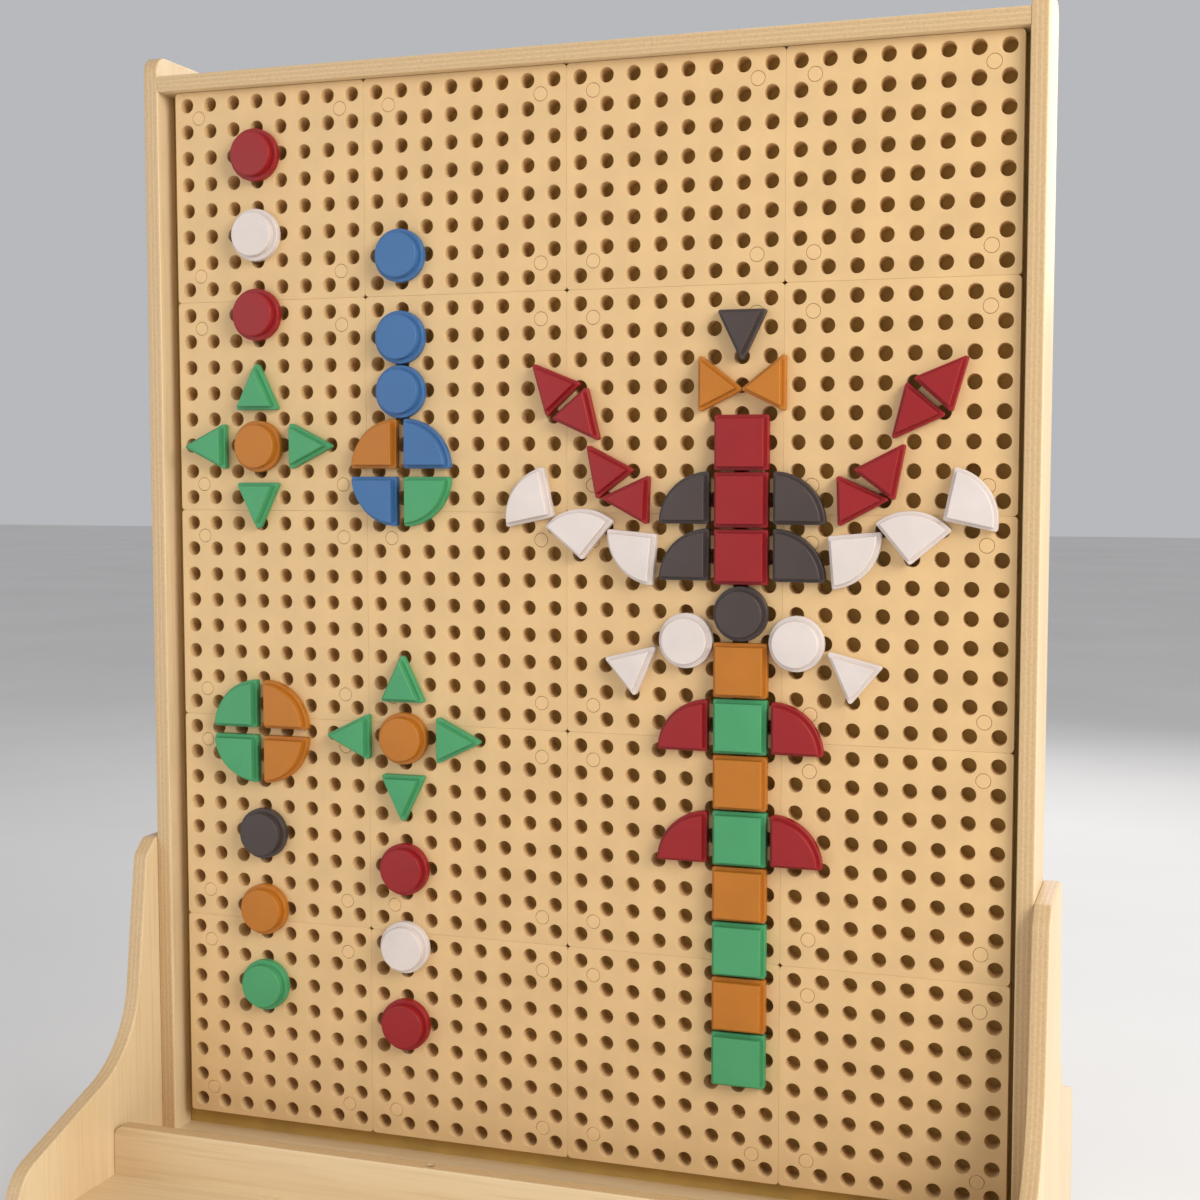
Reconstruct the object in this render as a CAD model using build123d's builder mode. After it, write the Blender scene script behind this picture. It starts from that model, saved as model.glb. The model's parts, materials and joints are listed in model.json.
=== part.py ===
"""Free-standing peg wall: a plywood frame that holds twenty hole tiles and seventy-one loose pegs.

Millimetres. +Z is up, the hole face looks towards -Y, and the origin is on the floor, midway
between the two foot panels and midway through the depth of the frame.
"""

from build123d import *
import os

os.makedirs("parts", exist_ok=True)

# Driving dimensions
PLY = 15.0  # thickness of every structural plywood board
PITCH = 25.0  # spacing of the peg holes
HOLES_PER_TILE = 8
TILE_COLUMNS = 4
TILE_ROWS = 5
FRAME_DEPTH = 90.0
PANEL_TOP = 1160.0
TILE_FIELD_SHIFT = 4.0  # the tile field sits this far to the right of the frame's middle
GAP_LEFT = 13.0
GAP_RIGHT = 5.0
TILE_RECESS = 11.0  # hole face to the frame's front edge
FIELD_BOTTOM = 125.0

# Hole tiles
TILE_PITCH = PITCH * HOLES_PER_TILE
TILE_SIZE = TILE_PITCH - 0.4
TILE_THICKNESS = 18.0
TILE_CORNER = 3.5
HOLE_RADIUS = 6.75
PLUG_POCKET_RADIUS = 6.35
PLUG_POCKET_DEPTH = 8.0
PLUG_RADIUS = 6.2
PLUG_THICKNESS = 3.0
PLUG_INSET = PITCH  # plug centre to tile edge
SCREW_HOLE_RADIUS = 2.1
SCREW_SHANK_RADIUS = 1.9
SCREW_HEAD_RADIUS = 3.8

# Frame positions
FIELD_WIDTH = TILE_PITCH * TILE_COLUMNS
FIELD_HEIGHT = TILE_PITCH * TILE_ROWS
FIELD_TOP = FIELD_BOTTOM + FIELD_HEIGHT
INNER_X = (FIELD_WIDTH + GAP_LEFT + GAP_RIGHT) / 2
FRAME_X = INNER_X + PLY
FRONT_Y = -FRAME_DEPTH / 2
FACE_Y = FRONT_Y + TILE_RECESS
TILE_BACK_Y = FACE_Y + TILE_THICKNESS
SHELF_TOP = 90.0
TRAY_FLOOR = SHELF_TOP + PLY
RAIL_UNDERSIDE = FIELD_TOP + 0.3
EDGE_ROUND = 1.5

# Boards behind the tiles
BACKING_THICKNESS = 12.0
BACK_PANEL_THICKNESS = 9.0
BACK_PANEL_INSET = 5.0
BATTEN_WIDTH = 40.0
BACKING_BACK_Y = TILE_BACK_Y + BACKING_THICKNESS
BACK_PANEL_Y = FRAME_DEPTH / 2 - BACK_PANEL_INSET - BACK_PANEL_THICKNESS

# Foot panels, shelf and lip
FOOT_TOP = 401.0
FOOT_REACH = 275.0
SHELF_REACH = 245.0
LIP_FRONT_Y = -129.0
LIP_HEIGHT = 47.5
LIP_CORNER = 10.0
LIP_SCREW_X = (-96.0, 164.0)

# Dowels and back screws
DOWEL_RADIUS = 4.0
DOWEL_FIT = 0.1
DOWEL_DEPTH = 10.0
BACK_SCREW_HEAD_RADIUS = 4.0
BACK_SCREW_HEAD_HEIGHT = 2.2

# Pegs
PEG_BACK_GAP = 0.3
BASE_THICKNESS = 7.2
CAP_THICKNESS = 7.2
CAP_INSET = 3.1
DISC_CAP_INSET = 3.9
STEM_RADIUS = 4.3
STEM_LENGTH = 14.0
DISC_RADIUS = 24.5
SQUARE_SIDE = 48.6
TRIANGLE_BASE = 45.0
TRIANGLE_HEIGHT = 46.0
QUARTER_RADIUS = 46.2
QUARTER_CORNER = 21.2  # stem to the square corner, along each straight side
PEG_CORNER = 2.0
EDGE_SOFTENING = 0.9
CAP_SOFTENING = 1.1

# The stems are thinner than the holes, so each peg lies a little off its hole's axis in (x, z)
MOTIF_SLACK = (0.0, -1.2)
FIGURE_SLACK = (1.4, 0.0)
RED_QUARTER_SLACK = (0.8, -1.9)
BOW_TIE_SPREAD = 0.02  # of a pitch, outwards from the middle


def front_plane(y):
    """A sketch plane that looks towards -Y, with its own x along +X and its own y up."""
    return Plane(origin=(0, y, 0), x_dir=(1, 0, 0), z_dir=(0, -1, 0))


def save(builder, label):
    builder.part.label = label
    export_step(builder.part, f"parts/{label}.step")


def hole_x(column):
    return TILE_FIELD_SHIFT + (column - (HOLES_PER_TILE * TILE_COLUMNS - 1) / 2) * PITCH


def hole_z(row):
    return FIELD_TOP - (row + 0.5) * PITCH


def span(x_size, y_low, y_high, z_low, z_high):
    """A board centred on x = 0 between the given depths and heights."""
    with Locations((0, (y_low + y_high) / 2, (z_low + z_high) / 2)):
        Box(x_size, y_high - y_low, z_high - z_low)


# ---- Frame boards ----
DOWEL_DEPTHS = (-28.0, 0.0, 28.0)
RAIL_MIDDLES = (RAIL_UNDERSIDE + PLY / 2, SHELF_TOP + PLY / 2)
FOOT_DOWEL_SPOTS = [(y, z) for y in (-25.0, 25.0) for z in (150.0, 360.0)]


def drill_dowels(spots, x):
    """Dowel holes that run along X through the board face at x, as deep on each side of it."""
    with Locations(*[Location((x, y, z), (0, 90, 0)) for y, z in spots]):
        Cylinder(DOWEL_RADIUS + DOWEL_FIT, 2 * DOWEL_DEPTH, mode=Mode.SUBTRACT)


RAIL_DOWEL_SPOTS = [(y, z) for y in DOWEL_DEPTHS for z in RAIL_MIDDLES]

for side, name in ((-1, "side_panel_left"), (1, "side_panel_right")):
    with BuildPart() as side_panel:
        with Locations((side * (INNER_X + PLY / 2), 0, (SHELF_TOP + PANEL_TOP) / 2)):
            Box(PLY, FRAME_DEPTH, PANEL_TOP - SHELF_TOP)
        fillet(side_panel.edges().filter_by(Axis.X).group_by(Axis.Z)[-1], PLY)
        rims = side_panel.faces().filter_by(Axis.X)
        fillet([e for face in rims for e in face.outer_wire().edges() if e.center().Z > SHELF_TOP + 1],
               EDGE_ROUND)
        drill_dowels(RAIL_DOWEL_SPOTS, side * INNER_X)
        drill_dowels(FOOT_DOWEL_SPOTS, side * FRAME_X)
    save(side_panel, name)

for name, low in (("top_rail", RAIL_UNDERSIDE), ("bottom_rail", SHELF_TOP)):
    with BuildPart() as rail:
        span(2 * INNER_X, -FRAME_DEPTH / 2, FRAME_DEPTH / 2, low, low + PLY)
        fillet(rail.edges().filter_by(Axis.X), EDGE_ROUND)
        for end in (-INNER_X, INNER_X):
            drill_dowels([(y, low + PLY / 2) for y in DOWEL_DEPTHS], end)
    save(rail, name)

# ---- Foot panels: a tall narrow neck that sweeps out to a long toe, front and back alike ----
for side, name in ((-1, "foot_panel_left"), (1, "foot_panel_right")):
    with BuildPart() as foot:
        with BuildSketch(Plane.YZ.offset(side * (FRAME_X + PLY / 2))):
            with BuildLine():
                FilletPolyline(
                    (0, FOOT_TOP),
                    (-48, FOOT_TOP),
                    (-64, 386),
                    (-89, 201),
                    (-FOOT_REACH, 138),
                    (-FOOT_REACH, 0),
                    radius=(10, 14, 95, 40),
                )
                Line((-FOOT_REACH, 0), (0, 0))
                Line((0, 0), (0, FOOT_TOP))
            make_face()
            mirror(about=Plane.YZ)
        extrude(amount=PLY / 2, both=True)
        rims = foot.faces().filter_by(Axis.X)
        fillet([e for face in rims for e in face.outer_wire().edges() if e.center().Z > 1], EDGE_ROUND)
        drill_dowels(FOOT_DOWEL_SPOTS, side * FRAME_X)
    save(foot, name)

# ---- Base shelf and the lip that keeps pegs in the tray ----
with BuildPart() as shelf:
    span(2 * FRAME_X, -SHELF_REACH, SHELF_REACH, SHELF_TOP - PLY, SHELF_TOP)
    fillet(shelf.edges().filter_by(Axis.X), EDGE_ROUND)
save(shelf, "base_shelf")

LIP_MIDDLE_Y = LIP_FRONT_Y + PLY / 2
LIP_TOP = SHELF_TOP + LIP_HEIGHT
with BuildPart() as lip:
    span(2 * FRAME_X, LIP_FRONT_Y, LIP_FRONT_Y + PLY, SHELF_TOP, LIP_TOP)
    fillet(lip.edges().filter_by(Axis.Y).group_by(Axis.Z)[-1], LIP_CORNER)
    rims = lip.faces().filter_by(Axis.Y)
    fillet([e for face in rims for e in face.outer_wire().edges() if e.center().Z > SHELF_TOP + 1],
           EDGE_ROUND)
    with Locations(*[(x, LIP_MIDDLE_Y, LIP_TOP) for x in LIP_SCREW_X]):
        CounterBoreHole(SCREW_HOLE_RADIUS, SCREW_HEAD_RADIUS + 0.2, 3.0)
save(lip, "front_lip")

with BuildPart() as lip_screws:
    with BuildSketch(Plane.XY.offset(LIP_TOP - 3.0)):
        with Locations(*[(x, LIP_MIDDLE_Y) for x in LIP_SCREW_X]):
            Circle(SCREW_HEAD_RADIUS)
    extrude(amount=2.4)
    with BuildSketch(Plane.XY.offset(LIP_TOP - 3.0)):
        with Locations(*[(x, LIP_MIDDLE_Y) for x in LIP_SCREW_X]):
            Circle(SCREW_SHANK_RADIUS)
    extrude(amount=-(LIP_HEIGHT - 3.0))
save(lip_screws, "lip_screws")

# ---- Hidden dowels ----
with BuildPart() as dowels:
    for side in (-1, 1):
        for x, spots in ((INNER_X, RAIL_DOWEL_SPOTS), (FRAME_X, FOOT_DOWEL_SPOTS)):
            with Locations(*[Location((side * x, y, z), (0, 90, 0)) for y, z in spots]):
                Cylinder(DOWEL_RADIUS, 2 * DOWEL_DEPTH - 1)
save(dowels, "joint_dowels")

# ---- Boards behind the tiles ----
TILE_CENTRES = [
    (TILE_FIELD_SHIFT + (column - (TILE_COLUMNS - 1) / 2) * TILE_PITCH,
     FIELD_TOP - (row + 0.5) * TILE_PITCH)
    for row in range(TILE_ROWS)
    for column in range(TILE_COLUMNS)
]
PLUG_REACH = TILE_PITCH / 2 - PLUG_INSET
PLUG_SPOTS = [(x + i * PLUG_REACH, z + j * PLUG_REACH)
              for x, z in TILE_CENTRES for i in (-1, 1) for j in (-1, 1)]
SIDE_CLEARANCE = 0.5

with BuildPart() as backing:
    span(2 * (INNER_X - SIDE_CLEARANCE), TILE_BACK_Y, BACKING_BACK_Y, TRAY_FLOOR, RAIL_UNDERSIDE)
    with BuildSketch(front_plane(BACKING_BACK_Y)):
        with Locations(*PLUG_SPOTS):
            Circle(SCREW_HOLE_RADIUS)
    extrude(amount=BACKING_THICKNESS, mode=Mode.SUBTRACT)
save(backing, "backing_board")

BATTEN_X = (-INNER_X + 0.5 + BATTEN_WIDTH / 2, 0, INNER_X - 0.5 - BATTEN_WIDTH / 2)
with BuildPart() as battens:
    with Locations(*[(x, (BACKING_BACK_Y + BACK_PANEL_Y) / 2, (TRAY_FLOOR + RAIL_UNDERSIDE) / 2)
                     for x in BATTEN_X]):
        Box(BATTEN_WIDTH, BACK_PANEL_Y - BACKING_BACK_Y, RAIL_UNDERSIDE - TRAY_FLOOR)
save(battens, "back_battens")

BACK_SCREW_Z = [TRAY_FLOOR + 40 + step * 235 for step in range(5)]
BACK_SCREW_SPOTS = [(x, z) for x in BATTEN_X for z in BACK_SCREW_Z]
with BuildPart() as back_panel:
    span(2 * (INNER_X - SIDE_CLEARANCE), BACK_PANEL_Y, BACK_PANEL_Y + BACK_PANEL_THICKNESS,
         TRAY_FLOOR, RAIL_UNDERSIDE)
    with BuildSketch(front_plane(BACK_PANEL_Y + BACK_PANEL_THICKNESS)):
        with Locations(*BACK_SCREW_SPOTS):
            Circle(SCREW_HOLE_RADIUS)
    extrude(amount=BACK_PANEL_THICKNESS, mode=Mode.SUBTRACT)
save(back_panel, "back_panel")

with BuildPart() as back_screws:
    with BuildSketch(front_plane(BACK_PANEL_Y + BACK_PANEL_THICKNESS)):
        with Locations(*BACK_SCREW_SPOTS):
            Circle(BACK_SCREW_HEAD_RADIUS)
    extrude(amount=-BACK_SCREW_HEAD_HEIGHT)
    fillet(back_screws.edges().group_by(Axis.Y)[-1], 1.2)
    with BuildSketch(front_plane(BACK_PANEL_Y + BACK_PANEL_THICKNESS)):
        with Locations(*BACK_SCREW_SPOTS):
            Circle(SCREW_SHANK_RADIUS)
    extrude(amount=BACK_PANEL_THICKNESS)
save(back_screws, "back_panel_screws")

# ---- Hole tiles, one node for each row of four ----
for row in range(TILE_ROWS):
    row_z = FIELD_TOP - (row + 0.5) * TILE_PITCH
    with BuildPart() as tiles:
        with BuildSketch(front_plane(TILE_BACK_Y)):
            with Locations((TILE_FIELD_SHIFT, row_z)):
                with GridLocations(TILE_PITCH, 0, TILE_COLUMNS, 1):
                    RectangleRounded(TILE_SIZE, TILE_SIZE, TILE_CORNER)
                with GridLocations(PITCH, PITCH, HOLES_PER_TILE * TILE_COLUMNS, HOLES_PER_TILE):
                    Circle(HOLE_RADIUS, mode=Mode.SUBTRACT)
        extrude(amount=TILE_THICKNESS)
        fronts = tiles.faces().group_by(Axis.Y)[0]
        chamfer([e for face in fronts for e in face.outer_wire().edges()], 0.6)
        row_plugs = [(x, z) for x, z in PLUG_SPOTS if abs(z - row_z) < TILE_PITCH / 2]
        with BuildSketch(front_plane(TILE_BACK_Y)):
            with Locations(*row_plugs):
                Circle(SCREW_HOLE_RADIUS)
        extrude(amount=TILE_THICKNESS, mode=Mode.SUBTRACT)
        with BuildSketch(front_plane(FACE_Y)):
            with Locations(*row_plugs):
                Circle(PLUG_POCKET_RADIUS)
        extrude(amount=-PLUG_POCKET_DEPTH, mode=Mode.SUBTRACT)
    save(tiles, f"hole_tiles_row_{row + 1}")

with BuildPart() as plugs:
    with BuildSketch(front_plane(FACE_Y)):
        with Locations(*PLUG_SPOTS):
            Circle(PLUG_RADIUS)
    extrude(amount=-PLUG_THICKNESS)
save(plugs, "tile_plugs")

SCREW_SEAT_Y = FACE_Y + PLUG_POCKET_DEPTH
with BuildPart() as tile_screws:
    with BuildSketch(front_plane(SCREW_SEAT_Y)):
        with Locations(*PLUG_SPOTS):
            Circle(SCREW_HEAD_RADIUS)
    extrude(amount=3.0)
    with BuildSketch(front_plane(SCREW_SEAT_Y)):
        with Locations(*PLUG_SPOTS):
            Circle(SCREW_SHANK_RADIUS)
    extrude(amount=-(TILE_BACK_Y - SCREW_SEAT_Y + BACKING_THICKNESS))
save(tile_screws, "tile_screws")


# ---- Pegs ----
def triangle():
    """An isosceles triangle that points up, with its centroid on the stem."""
    half = TRIANGLE_BASE / 2
    with BuildSketch() as outline:
        with BuildLine():
            Polyline((-half, -TRIANGLE_HEIGHT / 3), (half, -TRIANGLE_HEIGHT / 3),
                     (0, TRIANGLE_HEIGHT * 2 / 3), close=True)
        make_face()
        fillet(outline.vertices(), PEG_CORNER)
    return outline.sketch


def quarter():
    """A quarter disc whose square corner is low on the left of the stem."""
    low = -QUARTER_CORNER
    with BuildSketch() as outline:
        with BuildLine():
            Line((low, low), (low + QUARTER_RADIUS, low))
            CenterArc((low, low), QUARTER_RADIUS, 0, 90)
            Line((low, low + QUARTER_RADIUS), (low, low))
        make_face()
        fillet(outline.vertices(), PEG_CORNER)
    return outline.sketch


def square():
    with BuildSketch() as outline:
        RectangleRounded(SQUARE_SIDE, SQUARE_SIDE, PEG_CORNER)
    return outline.sketch


def disc():
    with BuildSketch() as outline:
        Circle(DISC_RADIUS)
    return outline.sketch


def make_peg(outline, inset=CAP_INSET):
    """A two-step head on a round stem. The stem's axis is Y and the head's back is at y = 0."""
    with BuildPart() as peg:
        with BuildSketch(front_plane(0)):
            add(outline)
        extrude(amount=BASE_THICKNESS)
        fillet(peg.faces().sort_by(Axis.Y)[0].outer_wire().edges(), EDGE_SOFTENING)
        with BuildSketch(front_plane(-BASE_THICKNESS)):
            add(outline)
            offset(amount=-inset, kind=Kind.INTERSECTION, mode=Mode.REPLACE)
        extrude(amount=CAP_THICKNESS)
        fillet(peg.faces().sort_by(Axis.Y)[0].outer_wire().edges(), CAP_SOFTENING)
        with BuildSketch(front_plane(0)):
            Circle(STEM_RADIUS)
        extrude(amount=-STEM_LENGTH)
        chamfer(peg.faces().sort_by(Axis.Y)[-1].edges(), 1.0)
    return peg.part


SHAPES = {
    "disc": make_peg(disc(), DISC_CAP_INSET),
    "square": make_peg(square()),
    "triangle": make_peg(triangle()),
    "quarter": make_peg(quarter()),
}
UP, LEFT, DOWN, RIGHT = 0, 90, 180, 270  # where a triangle points, turning anticlockwise
# Where a quarter's square corner lies
LOW_LEFT, LOW_RIGHT, HIGH_RIGHT, HIGH_LEFT = 0, 90, 180, 270
FIGURE_COLUMN = 22  # the big figure is the same on both sides of this column


def mirrored(shape, column, row, angle):
    """The peg and its mirror image about the figure's middle column."""
    turned = 90 - angle if shape == "quarter" else -angle
    return [(shape, column, row, angle), (shape, 2 * FIGURE_COLUMN - column, row, turned)]


PEGS = {
    "red_disc_1": [("disc", 3, 2, 0)],
    "white_disc_1": [("disc", 3, 5, 0)],
    "red_disc_2": [("disc", 3, 8, 0)],
    "orange_disc_1": [("disc", 3, 13, 0)],
    "blue_disc_1": [("disc", 9, 6, 0)],
    "blue_disc_2": [("disc", 9, 9, 0)],
    "blue_disc_3": [("disc", 9, 11, 0)],
    "orange_disc_2": [("disc", 9, 24, 0)],
    "grey_disc_1": [("disc", 3, 28, 0)],
    "orange_disc_3": [("disc", 3, 31, 0)],
    "green_disc_1": [("disc", 3, 34, 0)],
    "red_disc_3": [("disc", 9, 29, 0)],
    "white_disc_2": [("disc", 9, 32, 0)],
    "red_disc_4": [("disc", 9, 35, 0)],
    "flower_1_petals": [("triangle", 3, 11, UP), ("triangle", 1, 13, LEFT),
                        ("triangle", 5, 13, RIGHT), ("triangle", 3, 15, DOWN)],
    "flower_2_petals": [("triangle", 9, 22, UP), ("triangle", 7, 24, LEFT),
                        ("triangle", 11, 24, RIGHT), ("triangle", 9, 26, DOWN)],
    "wheel_1_orange": [("quarter", 8, 13, LOW_RIGHT)],
    "wheel_1_blue": [("quarter", 10, 13, LOW_LEFT), ("quarter", 8, 15, HIGH_RIGHT)],
    "wheel_1_green": [("quarter", 10, 15, HIGH_LEFT)],
    "wheel_2_green": [("quarter", 2, 23, LOW_RIGHT), ("quarter", 2, 25, HIGH_RIGHT)],
    "wheel_2_orange": [("quarter", 4, 23, LOW_LEFT), ("quarter", 4, 25, HIGH_LEFT)],
    "figure_grey_triangle": [("triangle", 22, 9, DOWN)],
    "figure_orange_triangles": mirrored("triangle", 21 - BOW_TIE_SPREAD, 11, 26),
    "figure_red_square_1": [("square", 22, 13, 0)],
    "figure_red_square_2": [("square", 22, 15, 0)],
    "figure_red_square_3": [("square", 22, 17, 0)],
    "figure_grey_quarters_1": mirrored("quarter", 20, 15, LOW_RIGHT),
    "figure_grey_quarters_2": mirrored("quarter", 20, 17, LOW_RIGHT),
    "figure_red_triangles_1": mirrored("triangle", 15, 11, 42) + mirrored("triangle", 16, 12, 220),
    "figure_red_triangles_2": mirrored("triangle", 17, 14, 37) + mirrored("triangle", 18, 15, 88),
    "figure_white_quarters_1": mirrored("quarter", 14, 15, LOW_RIGHT + 12),
    "figure_white_quarters_2": mirrored("quarter", 16, 16, LOW_RIGHT - 40),
    "figure_white_quarters_3": mirrored("quarter", 18, 17, HIGH_RIGHT - 5),
    "figure_grey_disc": [("disc", 22, 19, 0)],
    "figure_white_discs": mirrored("disc", 20, 20, 0),
    "figure_white_triangles": mirrored("triangle", 18, 21, -50),
    "figure_red_quarters": mirrored("quarter", 20, 23, LOW_RIGHT) + mirrored("quarter", 20, 27, LOW_RIGHT),
    "figure_orange_squares": [("square", 22, row, 0) for row in (21, 25, 29, 33)],
    "figure_green_squares": [("square", 22, row, 0) for row in (23, 27, 31, 35)],
}

for name, pegs in PEGS.items():
    slack_x, slack_z = FIGURE_SLACK if name.startswith("figure") else MOTIF_SLACK
    if name == "figure_red_quarters":
        slack_x, slack_z = RED_QUARTER_SLACK
    with BuildPart() as group:
        for shape, column, row, angle in pegs:
            place = (hole_x(column) + slack_x, FACE_Y - PEG_BACK_GAP, hole_z(row) + slack_z)
            with Locations(Location(place, (0, -angle, 0))):
                add(SHAPES[shape])
    save(group, f"peg_{name}")
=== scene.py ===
"""Looks of the free-standing peg wall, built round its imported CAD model. Metres, +Z up.

The boards, screws and pegs keep their CAD shapes and get procedural materials. The hole tiles and
their plugs are built here with softened rims, and stand for the plain CAD tiles.
"""

import bmesh
import bpy
import json
import math
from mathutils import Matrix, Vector, geometry


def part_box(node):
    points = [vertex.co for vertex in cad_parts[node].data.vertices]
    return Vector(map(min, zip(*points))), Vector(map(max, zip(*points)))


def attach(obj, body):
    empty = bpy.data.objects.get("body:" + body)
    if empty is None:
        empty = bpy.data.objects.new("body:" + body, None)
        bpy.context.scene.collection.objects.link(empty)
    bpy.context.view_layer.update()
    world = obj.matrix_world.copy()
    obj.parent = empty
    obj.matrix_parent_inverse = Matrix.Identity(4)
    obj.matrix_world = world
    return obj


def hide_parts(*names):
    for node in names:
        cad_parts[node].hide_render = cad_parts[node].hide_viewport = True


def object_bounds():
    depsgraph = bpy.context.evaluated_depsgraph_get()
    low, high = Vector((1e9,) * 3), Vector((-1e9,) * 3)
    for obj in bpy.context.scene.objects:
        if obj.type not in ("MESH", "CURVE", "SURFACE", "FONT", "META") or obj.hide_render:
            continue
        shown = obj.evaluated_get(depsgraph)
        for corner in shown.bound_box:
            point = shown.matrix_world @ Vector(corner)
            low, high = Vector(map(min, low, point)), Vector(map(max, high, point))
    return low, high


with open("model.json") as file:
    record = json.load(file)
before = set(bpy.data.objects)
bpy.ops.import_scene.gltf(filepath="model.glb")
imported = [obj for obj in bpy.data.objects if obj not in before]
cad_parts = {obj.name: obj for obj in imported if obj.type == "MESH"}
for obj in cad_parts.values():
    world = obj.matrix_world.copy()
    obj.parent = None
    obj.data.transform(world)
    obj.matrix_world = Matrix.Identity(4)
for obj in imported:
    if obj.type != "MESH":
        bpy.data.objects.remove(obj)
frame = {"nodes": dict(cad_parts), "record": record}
cad_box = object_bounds()

# ---- Driving dimensions ----
MM = 0.001
PLY = 15 * MM
BACK_PANEL = 9 * MM
BATTEN = 27 * MM
TILE_COLUMNS = 4
TILE_ROWS = 5
HOLES_PER_TILE = 8
TILE_SEAM = 0.4 * MM
SHOWN_SEAM = 0.1 * MM  # narrower than TILE_SEAM, because the joints hardly show
TILE_CORNER = 3.5 * MM
PLUG_RADIUS = 6.2 * MM
PLUG_THICKNESS = 3 * MM
PLUG_GAP = 0.3 * MM  # a little wider than in the CAD, so that each plug's ring shows
POCKET_DEPTH = 8 * MM
HOLE_RIM = 0.55 * MM
TILE_RIM = 0.2 * MM
PLUG_RIM = 0.5 * MM
HOLE_STEPS = 24
CORNER_STEPS = 5
WELD_DISTANCE = 0.01 * MM
MERGE_DISTANCE = 0.002 * MM
SHARP_ANGLE = math.radians(32)

record = frame["record"]
SLOT_OF = {part["node"]: part["material_slot"] for part in record["subparts"]}
HOLE_MOUNT = next(m for m in record["mounts"] if m["name"] == "peg_hole_lower_left")
HOLE_RADIUS = HOLE_MOUNT["dims"]["r_mm"] * MM

row_low, row_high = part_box("hole_tiles_row_1")
FACE_Y = row_low.y
TILE_DEPTH = row_high.y - row_low.y
TILE_WIDTH = (row_high.x - row_low.x - (TILE_COLUMNS - 1) * TILE_SEAM) / TILE_COLUMNS
TILE_PITCH = TILE_WIDTH + TILE_SEAM
PITCH = TILE_PITCH / HOLES_PER_TILE
PLUG_REACH = TILE_PITCH / 2 - PITCH

# ---- Colours, as linear values ----
BIRCH_PALE = (0.74, 0.57, 0.34, 1)
BIRCH_WARM = (0.69, 0.50, 0.28, 1)
PLY_LIGHT = (0.64, 0.445, 0.235, 1)
PLY_DARK = (0.585, 0.395, 0.20, 1)
GLUE_LINE = (0.51, 0.335, 0.165, 1)
# Painted shade: the backing board gets a dark ochre, darkened to stand for the shade that falls deep in
# the holes and in the strip under the tiles.
BACKING_PAINTED_SHADE = (0.48, 0.315, 0.085)
TILE_TAN = (0.69, 0.465, 0.225)
PEG_COLOURS = {
    "peg_red": (0.285, 0.0095, 0.012),
    "peg_white": (0.68, 0.60, 0.555),
    "peg_blue": (0.046, 0.14, 0.32),
    "peg_green": (0.062, 0.31, 0.125),
    "peg_orange": (0.46, 0.155, 0.013),
    "peg_grey": (0.060, 0.044, 0.040),
}


# ---- Node helpers ----
class Shader:
    """A new node material whose nodes are made and joined in one call each."""

    def __init__(self, name):
        self.material = bpy.data.materials.new(name)
        self.material.use_nodes = True
        self.tree = self.material.node_tree
        self.surface = self.tree.nodes["Principled BSDF"]

    def node(self, kind, inputs=None, **settings):
        made = self.tree.nodes.new(kind)
        for key, value in settings.items():
            setattr(made, key, value)
        for key, value in (inputs or {}).items():
            self.put(made.inputs[key], value)
        return made

    def put(self, socket, value):
        if isinstance(value, bpy.types.NodeSocket):
            self.tree.links.new(value, socket)
        else:
            socket.default_value = value

    def math(self, operation, first, second=0.0):
        return self.node("ShaderNodeMath", {0: first, 1: second}, operation=operation).outputs[0]

    def place(self, output="Object", scale=(1, 1, 1)):
        """Object coordinates, stretched by scale."""
        coordinates = self.node("ShaderNodeTexCoord").outputs[output]
        return self.node("ShaderNodeMapping", {"Vector": coordinates, "Scale": scale}).outputs[0]

    def noise(self, vector, scale, detail=3.0, roughness=0.5, distortion=0.0):
        return self.node("ShaderNodeTexNoise", {
            "Vector": vector, "Scale": scale, "Detail": detail,
            "Roughness": roughness, "Distortion": distortion,
        }).outputs["Fac"]

    def ramp(self, factor, stops):
        """A colour ramp through (position, colour) stops."""
        made = self.node("ShaderNodeValToRGB", {"Fac": factor})
        elements = made.color_ramp.elements
        while len(elements) < len(stops):
            elements.new(0.5)
        for element, (position, _) in zip(elements, stops):
            element.position = position
        for element, (_, colour) in zip(elements, stops):
            element.color = colour
        return made.outputs["Color"]

    def blend(self, factor, first, second, mode="MIX"):
        made = self.node("ShaderNodeMix", data_type="RGBA", blend_type=mode)
        self.put(made.inputs[0], factor)
        self.put(made.inputs[6], first)
        self.put(made.inputs[7], second)
        return made.outputs[2]

    def bump(self, height, strength, distance):
        made = self.node("ShaderNodeBump", {"Height": height, "Strength": strength, "Distance": distance})
        self.put(self.surface.inputs["Normal"], made.outputs["Normal"])


def spread(middle, change):
    """Two greys round a middle value, for a ramp that drives roughness."""
    low, high = middle - change, middle + change
    return [(0.3, (low, low, low, 1)), (0.7, (high, high, high, 1))]


# ---- Materials ----
PLY_COUNT = 7


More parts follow.
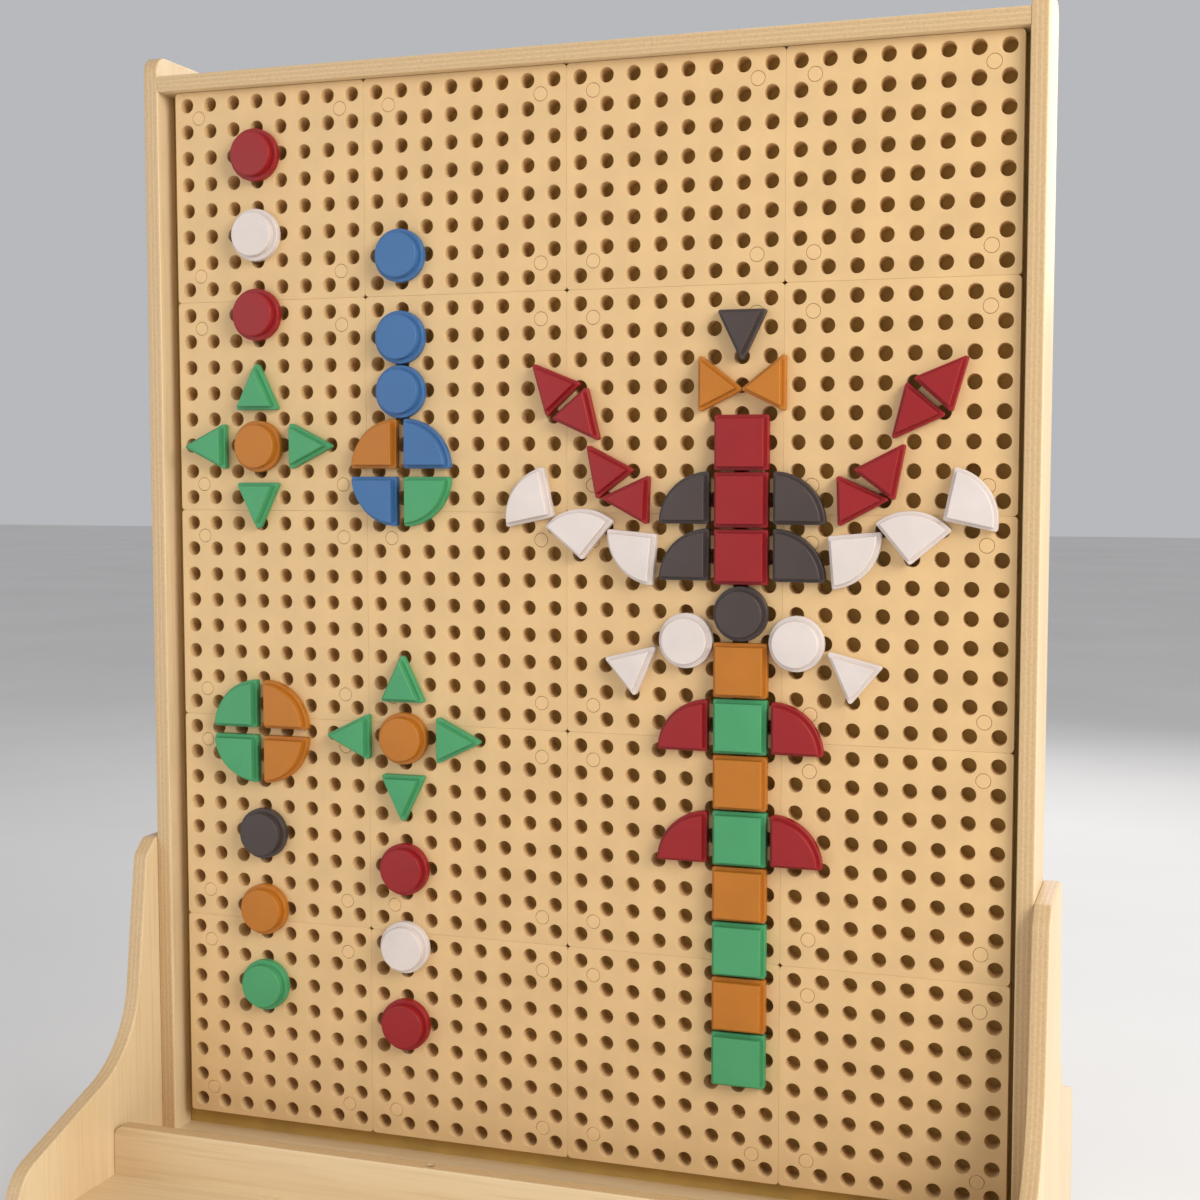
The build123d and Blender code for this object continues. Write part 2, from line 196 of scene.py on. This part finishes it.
def plywood(name, thin, grain, start, thickness=PLY):
    """Birch plywood. thin is the axis across the plies, grain the axis along the face veneer."""
    shader = Shader(name)
    stretch = [14.0, 14.0, 14.0]
    stretch[grain] = 0.9
    figure = shader.noise(shader.place(scale=stretch), 1.6, detail=4, roughness=0.55, distortion=0.9)
    face = shader.ramp(figure, [(0.30, BIRCH_WARM), (0.52, BIRCH_PALE), (0.75, BIRCH_PALE)])
    fine_stretch = [260.0, 260.0, 260.0]
    fine_stretch[grain] = 7.0
    pores = shader.noise(shader.place(scale=fine_stretch), 1.0, detail=2, roughness=0.6)
    streaks = shader.ramp(pores, [(0.33, (0.84, 0.80, 0.74, 1)), (0.50, (1, 1, 1, 1))])
    face = shader.blend(0.55, face, streaks, mode="MULTIPLY")

    axes = shader.node("ShaderNodeSeparateXYZ", {0: shader.place()}).outputs
    wobble = shader.math("MULTIPLY", shader.noise(shader.place(), 22.0, detail=2), 0.5 * MM)
    across = shader.math("ADD", axes[thin], wobble)
    depth = shader.math("DIVIDE", shader.math("SUBTRACT", across, start), thickness)
    stops = []
    for ply in range(PLY_COUNT):
        tone = PLY_LIGHT if ply % 2 == 0 else PLY_DARK
        stops += [(ply / PLY_COUNT, GLUE_LINE), ((ply + 0.12) / PLY_COUNT, tone),
                  ((ply + 0.92) / PLY_COUNT, tone)]
    edge = shader.ramp(depth, stops)
    fibres = shader.noise(shader.place(scale=(420, 420, 420)), 1.0, detail=1)
    edge = shader.blend(0.35, edge, shader.ramp(fibres, [(0.3, (0.7, 0.66, 0.6, 1)), (0.6, (1, 1, 1, 1))]),
                        mode="MULTIPLY")

    facing = shader.node("ShaderNodeSeparateXYZ", {0: shader.node("ShaderNodeTexCoord").outputs["Normal"]})
    flatness = shader.math("ABSOLUTE", facing.outputs[thin])
    is_face = shader.node("ShaderNodeMapRange", {"Value": flatness, "From Min": 0.55, "From Max": 0.8})
    shader.put(shader.surface.inputs["Base Color"], shader.blend(is_face.outputs[0], edge, face))
    shader.put(shader.surface.inputs["Roughness"], shader.ramp(pores, spread(0.46, 0.06)))
    shader.surface.inputs["Coat Weight"].default_value = 0.12
    shader.surface.inputs["Coat Roughness"].default_value = 0.35
    shader.bump(pores, 0.10, 0.3 * MM)
    return shader.material


def round_wood(name):
    """Beech dowel: fine pores along X."""
    shader = Shader(name)
    pores = shader.noise(shader.place(scale=(30, 600, 600)), 1.0)
    colour = shader.ramp(pores, [(0.3, BIRCH_WARM), (0.7, BIRCH_PALE)])
    shader.put(shader.surface.inputs["Base Color"], colour)
    shader.surface.inputs["Roughness"].default_value = 0.6
    return shader.material


def moulded_plastic(name, colour, roughness, grain, mottling=0.05):
    """Moulded plastic with a faint cloudiness in its colour and a fine moulded texture."""
    shader = Shader(name)
    cloud = shader.noise(shader.place(), 26.0, detail=3)
    darker = [c * (1 - mottling) for c in colour] + [1]
    lighter = [min(1.0, c * (1 + mottling)) for c in colour] + [1]
    shader.put(shader.surface.inputs["Base Color"], shader.ramp(cloud, [(0.3, darker), (0.7, lighter)]))
    shader.surface.inputs["Specular IOR Level"].default_value = 0.35
    texture = shader.noise(shader.place(), 1500.0, detail=2)
    shader.put(shader.surface.inputs["Roughness"], shader.ramp(cloud, spread(roughness, 0.04)))
    shader.bump(texture, grain, 0.1 * MM)
    return shader.material


def bright_steel(name):
    shader = Shader(name)
    wear = shader.noise(shader.place(), 300.0)
    shader.put(shader.surface.inputs["Base Color"],
               shader.ramp(wear, [(0.3, (0.50, 0.49, 0.47, 1)), (0.7, (0.66, 0.65, 0.63, 1))]))
    shader.put(shader.surface.inputs["Roughness"], shader.ramp(wear, spread(0.34, 0.08)))
    shader.surface.inputs["Metallic"].default_value = 1.0
    return shader.material


X, Y, Z = 0, 1, 2
BOARDS = {  # node: (axis across the plies, axis along the grain, thickness)
    "side_panel_left": (X, Z, PLY),
    "side_panel_right": (X, Z, PLY),
    "foot_panel_left": (X, Z, PLY),
    "foot_panel_right": (X, Z, PLY),
    "top_rail": (Z, X, PLY),
    "bottom_rail": (Z, X, PLY),
    "base_shelf": (Z, X, PLY),
    "front_lip": (Y, X, PLY),
    "back_panel": (Y, Z, BACK_PANEL),
    "back_battens": (Y, Z, BATTEN),
}


def show(node, material):
    """Gives a CAD node its material, and smooth shading that breaks at its real edges."""
    piece = frame["nodes"][node]
    piece.data.materials.clear()
    piece.data.materials.append(material)
    weld = piece.modifiers.new("weld", "WELD")
    weld.merge_threshold = WELD_DISTANCE
    piece.data.shade_smooth()
    split = piece.modifiers.new("edges", "EDGE_SPLIT")
    split.split_angle = SHARP_ANGLE


for node, (thin, grain, thickness) in BOARDS.items():
    show(node, plywood(f"plywood_{node}", thin, grain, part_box(node)[0][thin], thickness))

# The backing board's darkened ochre paints in the shade of the holes and of the strip under the tiles.
show("backing_board", moulded_plastic("backing_painted_shade", BACKING_PAINTED_SHADE, 0.6, 0.2, 0.12))
show("joint_dowels", round_wood("beech_dowel"))
steel = bright_steel("bright_steel")
for node in ("lip_screws", "back_panel_screws", "tile_screws"):
    show(node, steel)

pegs = {slot: moulded_plastic(f"{slot}_plastic", colour, 0.42, 0.08)
        for slot, colour in PEG_COLOURS.items()}
for node in frame["nodes"]:
    if node.startswith("peg_"):
        show(node, pegs[SLOT_OF[node]])


# ---- Hole tiles ----
def circle(centre, radius, steps=HOLE_STEPS):
    turns = [2 * math.pi * step / steps for step in range(steps)]
    return [(centre[0] + radius * math.cos(a), centre[1] + radius * math.sin(a)) for a in turns]


def rounded_square(half, corner):
    """The points of a square's outline with round corners, anticlockwise."""
    points = []
    for quarter, (sx, sz) in enumerate(((1, 1), (-1, 1), (-1, -1), (1, -1))):
        for step in range(CORNER_STEPS + 1):
            a = math.pi / 2 * (quarter + step / CORNER_STEPS)
            points.append((sx * (half - corner) + corner * math.cos(a),
                           sz * (half - corner) + corner * math.sin(a)))
    return points


def rim_profile(rim, depth):
    """(how far outside the wall, how deep) for a quarter-round rim and the wall below it."""
    turns = [math.pi / 2 * step / 3 for step in range(4)]
    return [(rim * (1 - math.sin(a)), rim * (1 - math.cos(a))) for a in turns] + [(0, depth)]


def add_wall(mesh, outline, profile):
    """Walls that follow outline(offset) down the profile. The first ring lies in the face."""
    rings = [[mesh.verts.new((x, deep, z)) for x, z in outline(offset)] for offset, deep in profile]
    for upper, lower in zip(rings, rings[1:]):
        for i, vertex in enumerate(upper):
            face = mesh.faces.new((vertex, upper[i - 1], lower[i - 1], lower[i]))
            face.smooth = True


def centred_row(count, pitch):
    """Evenly spaced places, with their middle at 0."""
    return [(i - (count - 1) / 2) * pitch for i in range(count)]


HOLE_SPOTS = [(x, z) for x in centred_row(HOLES_PER_TILE, PITCH)
              for z in centred_row(HOLES_PER_TILE, PITCH)]
PLUG_SPOTS = [(x, z) for x in (-PLUG_REACH, PLUG_REACH) for z in (-PLUG_REACH, PLUG_REACH)]


def tile_mesh():
    """One tile, centred on the origin, with its face at y = 0 and its holes along Y."""
    cuts = [(spot, HOLE_RADIUS, HOLE_RIM, TILE_DEPTH) for spot in HOLE_SPOTS]
    cuts += [(spot, PLUG_RADIUS + PLUG_GAP, PLUG_RIM, POCKET_DEPTH) for spot in PLUG_SPOTS]
    half = (TILE_PITCH - SHOWN_SEAM) / 2
    loops = [rounded_square(half - TILE_RIM, TILE_CORNER - TILE_RIM)]
    loops += [circle(spot, radius + rim) for spot, radius, rim, _ in cuts]
    points, edges = [], []
    for loop in loops:
        first = len(points)
        points += loop
        edges += [(first + i, first + (i + 1) % len(loop)) for i in range(len(loop))]
    found, _, triangles = geometry.delaunay_2d_cdt([Vector(p) for p in points], edges, [], 0, 1e-7)[:3]

    mesh = bmesh.new()
    flat = math.cos(math.pi / HOLE_STEPS)  # middle of a circle's side to its centre, over the radius
    corners = [mesh.verts.new((p.x, 0, p.y)) for p in found]
    for triangle in triangles:
        middle = sum((found[i] for i in triangle), Vector((0, 0))) / 3
        if all((middle - Vector(spot)).length > (radius + rim) * flat for spot, radius, rim, _ in cuts):
            mesh.faces.new([corners[i] for i in triangle])
    for spot, radius, rim, depth in cuts:
        add_wall(mesh, lambda offset: circle(spot, radius + offset), rim_profile(rim, depth))
    for spot, radius, _, depth in cuts[len(HOLE_SPOTS):]:
        mesh.faces.new([mesh.verts.new((x, depth, z)) for x, z in circle(spot, radius)])
    add_wall(mesh, lambda offset: rounded_square(half - offset, TILE_CORNER - offset),
             rim_profile(TILE_RIM, TILE_DEPTH))
    bmesh.ops.remove_doubles(mesh, verts=mesh.verts, dist=MERGE_DISTANCE)
    bmesh.ops.recalc_face_normals(mesh, faces=mesh.faces)
    return finished(mesh, "hole_tile")


def plug_mesh():
    """The four flush plugs of one tile: shallow discs with a soft rim."""
    mesh = bmesh.new()
    for spot in PLUG_SPOTS:
        profile = rim_profile(PLUG_RIM, PLUG_THICKNESS)
        add_wall(mesh, lambda offset: circle(spot, PLUG_RADIUS - offset), profile)
        for deep, radius in ((0, PLUG_RADIUS - PLUG_RIM), (PLUG_THICKNESS, PLUG_RADIUS)):
            mesh.faces.new([mesh.verts.new((x, deep, z)) for x, z in circle(spot, radius)])
    bmesh.ops.remove_doubles(mesh, verts=mesh.verts, dist=MERGE_DISTANCE)
    bmesh.ops.recalc_face_normals(mesh, faces=mesh.faces)
    return finished(mesh, "tile_plugs_of_one_tile")


def finished(mesh, name):
    made = bpy.data.meshes.new(name)
    mesh.to_mesh(made)
    mesh.free()
    return made


def add_piece(name, mesh, place, node):
    """A piece of the frame body that stands for a CAD node."""
    piece = bpy.data.objects.new(name, mesh)
    bpy.context.scene.collection.objects.link(piece)
    piece.location = place
    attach(piece, "frame")
    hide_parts(node)


tile, plug = tile_mesh(), plug_mesh()
tile.materials.append(moulded_plastic("tile_plastic", TILE_TAN, 0.46, 0.16))
plug.materials.append(moulded_plastic("plug_plastic", [1.03 * c for c in TILE_TAN], 0.42, 0.12))
for row in range(TILE_ROWS):
    node = f"hole_tiles_row_{row + 1}"
    low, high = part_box(node)
    for column in range(TILE_COLUMNS):
        place = (row_low.x + TILE_WIDTH / 2 + column * TILE_PITCH, FACE_Y, (low.z + high.z) / 2)
        add_piece(f"hole_tile_{row + 1}_{column + 1}", tile, place, node)
        add_piece(f"tile_plugs_{row + 1}_{column + 1}", plug, place, "tile_plugs")


# ---- Floor, light and camera ----
def pale_floor():
    bpy.ops.mesh.primitive_plane_add(size=40)
    floor = bpy.context.object
    floor.name = "floor"
    shader = Shader("pale_floor")
    cloud = shader.noise(shader.place(), 1.2)
    shader.put(shader.surface.inputs["Base Color"],
               shader.ramp(cloud, [(0.3, (0.74, 0.72, 0.70, 1)), (0.7, (0.79, 0.77, 0.75, 1))]))
    shader.surface.inputs["Roughness"].default_value = 0.7
    floor.data.materials.append(shader.material)


def soft_light(name, place, size, watts, colour=(1, 1, 1)):
    data = bpy.data.lights.new(name, "AREA")
    data.size = size
    data.energy = watts
    data.color = colour
    light = bpy.data.objects.new(name, data)
    bpy.context.scene.collection.objects.link(light)
    middle = (cad_box[0] + cad_box[1]) / 2
    light.location = middle + Vector(place)
    light.rotation_euler = (-Vector(place)).to_track_quat("-Z", "Y").to_euler()


pale_floor()
soft_light("key", (2.6, -1.8, 1.4), 1.5, 84, (1.0, 0.97, 0.93))
soft_light("fill", (-1.9, -2.6, 0.5), 2.4, 26, (0.97, 0.98, 1.0))
soft_light("side", (3.0, 0.1, 0.3), 1.5, 27, (0.90, 0.96, 1.0))
soft_light("back", (0.4, 2.8, 1.6), 2.2, 40)
world = bpy.data.worlds.new("studio")
world.use_nodes = True
world.node_tree.nodes["Background"].inputs["Color"].default_value = (0.86, 0.88, 0.92, 1)
world.node_tree.nodes["Background"].inputs["Strength"].default_value = 0.55
bpy.context.scene.world = world
bpy.context.scene.view_settings.view_transform = "Standard"

camera = bpy.data.objects.new("camera", bpy.data.cameras.new("camera"))
bpy.context.scene.collection.objects.link(camera)
camera.location = (0.5496, -1.5543, 0.7623)
camera.rotation_euler = (math.radians(85.868), 0, math.radians(18.677))
camera.data.sensor_width = 36
camera.data.lens = 53.36
bpy.context.scene.camera = camera
